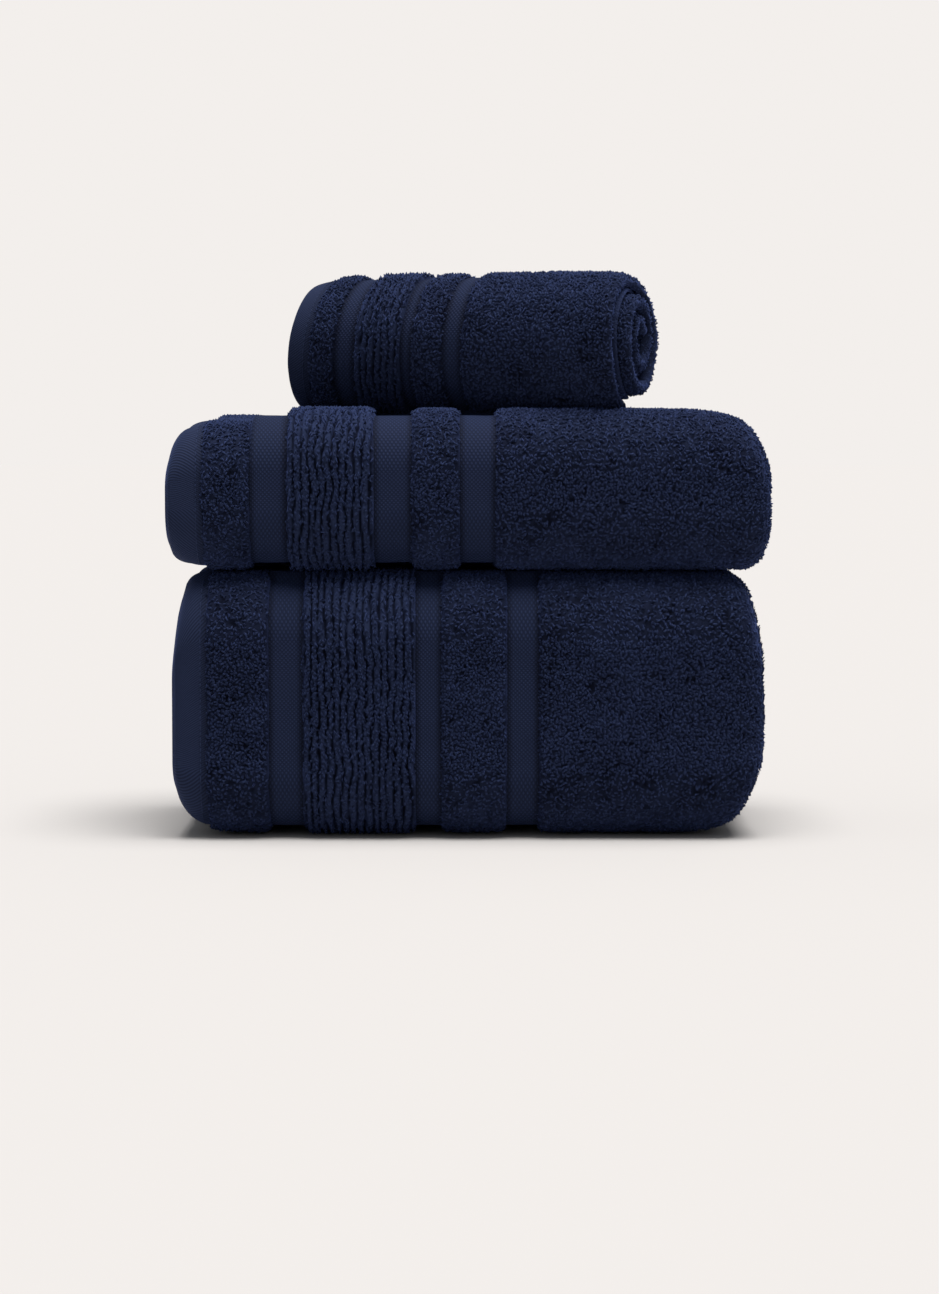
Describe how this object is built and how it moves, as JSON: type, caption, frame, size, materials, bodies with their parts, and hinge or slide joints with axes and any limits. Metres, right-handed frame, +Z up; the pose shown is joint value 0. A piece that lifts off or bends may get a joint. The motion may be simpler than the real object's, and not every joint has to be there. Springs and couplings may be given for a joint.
{
  "type": "bath towel set",
  "caption": "Stack of folded terry bath and hand towels with a rolled guest towel on top, each with terry, flat dobby and ribbed bands across its hem end.",
  "frame": {"origin": "middle of the underside of the bath towel, on the surface that the stack stands on", "axes": "+X along the towels' length, from the banded hem end towards the folded end; +Y from the folded front towards the back, where the free edges are; +Z up"},
  "size_m": [0.358, 0.19, 0.3371],
  "materials": {
    "terry_cotton": "looped terry pile, matt navy cotton",
    "ribbed_cotton": "terry pile sheared into wavy ribs, matt navy cotton",
    "dobby_cotton": "flat fine diamond weave with a slight sheen, navy cotton",
    "hem_cotton": "flat turned hem in fine twill, navy cotton",
    "inner_cotton": "terry pile of the inside layers, matt navy cotton",
    "thread_cotton": "navy sewing thread"
  },
  "bodies": {
    "bath_towel": {"bath_towel_hem": "hem_cotton", "bath_towel_terry_band_1": "terry_cotton", "bath_towel_dobby_band_1": "dobby_cotton", "bath_towel_ribbed_band": "ribbed_cotton", "bath_towel_dobby_band_2": "dobby_cotton", "bath_towel_terry_band_2": "terry_cotton", "bath_towel_dobby_band_3": "dobby_cotton", "bath_towel_terry_field": "terry_cotton", "bath_towel_inner_folds": "inner_cotton", "bath_towel_hem_thread": "thread_cotton"},
    "hand_towel": {"hand_towel_hem": "hem_cotton", "hand_towel_terry_band_1": "terry_cotton", "hand_towel_dobby_band_1": "dobby_cotton", "hand_towel_ribbed_band": "ribbed_cotton", "hand_towel_dobby_band_2": "dobby_cotton", "hand_towel_terry_band_2": "terry_cotton", "hand_towel_dobby_band_3": "dobby_cotton", "hand_towel_terry_field": "terry_cotton", "hand_towel_inner_folds": "inner_cotton", "hand_towel_hem_thread": "thread_cotton"},
    "guest_towel": {"guest_towel_hem": "hem_cotton", "guest_towel_terry_band_1": "terry_cotton", "guest_towel_dobby_band_1": "dobby_cotton", "guest_towel_ribbed_band": "ribbed_cotton", "guest_towel_dobby_band_2": "dobby_cotton", "guest_towel_terry_band_2": "terry_cotton", "guest_towel_dobby_band_3": "dobby_cotton", "guest_towel_terry_field": "terry_cotton", "guest_towel_inner_turns": "inner_cotton", "guest_towel_hem_thread": "thread_cotton"}
  },
  "joints": [
    {"name": "hand_towel_lift", "type": "slide", "parent": "bath_towel", "child": "hand_towel", "axis": [0, 0, 1], "range_m": [0, 0.25]},
    {"name": "guest_towel_lift", "type": "slide", "parent": "hand_towel", "child": "guest_towel", "axis": [0, 0, 1], "range_m": [0, 0.25]}
  ]
}
